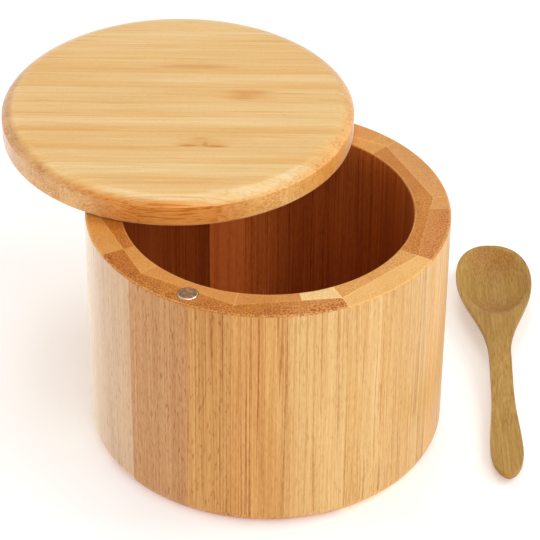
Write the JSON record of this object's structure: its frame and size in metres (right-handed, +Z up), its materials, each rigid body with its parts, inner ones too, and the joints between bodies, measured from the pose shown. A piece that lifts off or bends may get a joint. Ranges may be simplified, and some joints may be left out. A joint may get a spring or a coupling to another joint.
{
  "type": "salt box",
  "caption": "Round bamboo salt box with a coopered two-ply wall, a strip-built lid that swivels aside on a pin and is held shut by magnets, and a small loose spoon.",
  "frame": {"origin": "centre of the underside of the bottom board, on the table that the box stands on", "axes": "+Z up along the axis of the box, -Y to the front where the picture is taken from, +X to the right"},
  "size_m": [0.1389, 0.1245, 0.0713],
  "materials": {
    "wall_bamboo": "satin oil",
    "inner_bamboo": "satin oil",
    "lid_bamboo": "satin oil",
    "spoon_bamboo": "satin oil",
    "pin_steel": "ground",
    "magnet_nickel": "nickel plate"
  },
  "bodies": {
    "box": {"stave_01_outer_ply": "wall_bamboo", "stave_02_outer_ply": "wall_bamboo", "stave_03_outer_ply": "wall_bamboo", "stave_04_outer_ply": "wall_bamboo", "stave_05_outer_ply": "wall_bamboo", "stave_06_outer_ply": "wall_bamboo", "stave_07_outer_ply": "wall_bamboo", "stave_08_outer_ply": "wall_bamboo", "stave_09_outer_ply": "wall_bamboo", "stave_10_outer_ply": "wall_bamboo", "stave_01_inner_ply": "inner_bamboo", "stave_02_inner_ply": "inner_bamboo", "stave_03_inner_ply": "inner_bamboo", "stave_04_inner_ply": "inner_bamboo", "stave_05_inner_ply": "inner_bamboo", "stave_06_inner_ply": "inner_bamboo", "stave_07_inner_ply": "inner_bamboo", "stave_08_inner_ply": "inner_bamboo", "stave_09_inner_ply": "inner_bamboo", "stave_10_inner_ply": "inner_bamboo", "bottom_board": "inner_bamboo", "pivot_pin": "pin_steel", "rim_magnet": "magnet_nickel"},
    "lid": {"lid_strip_01": "lid_bamboo", "lid_strip_02": "lid_bamboo", "lid_strip_03": "lid_bamboo", "lid_strip_04": "lid_bamboo", "lid_strip_05": "lid_bamboo", "lid_strip_06": "lid_bamboo", "lid_strip_07": "lid_bamboo", "lid_strip_08": "lid_bamboo", "lid_strip_09": "lid_bamboo", "lid_strip_10": "lid_bamboo", "lid_strip_11": "lid_bamboo", "lid_strip_12": "lid_bamboo", "lid_strip_13": "lid_bamboo", "lid_strip_14": "lid_bamboo", "lid_magnet": "magnet_nickel"},
    "spoon": {"spoon": "spoon_bamboo"}
  },
  "joints": [
    {"name": "lid_swivel", "type": "hinge", "parent": "box", "child": "lid", "pos_m": [0.01697, 0.03622, 0.0635], "axis": [0, 0, 1], "continuous": true},
    {"name": "spoon_lift", "type": "slide", "parent": "box", "child": "spoon", "axis": [0, 0, 1], "range_m": [0, 0.085]}
  ]
}
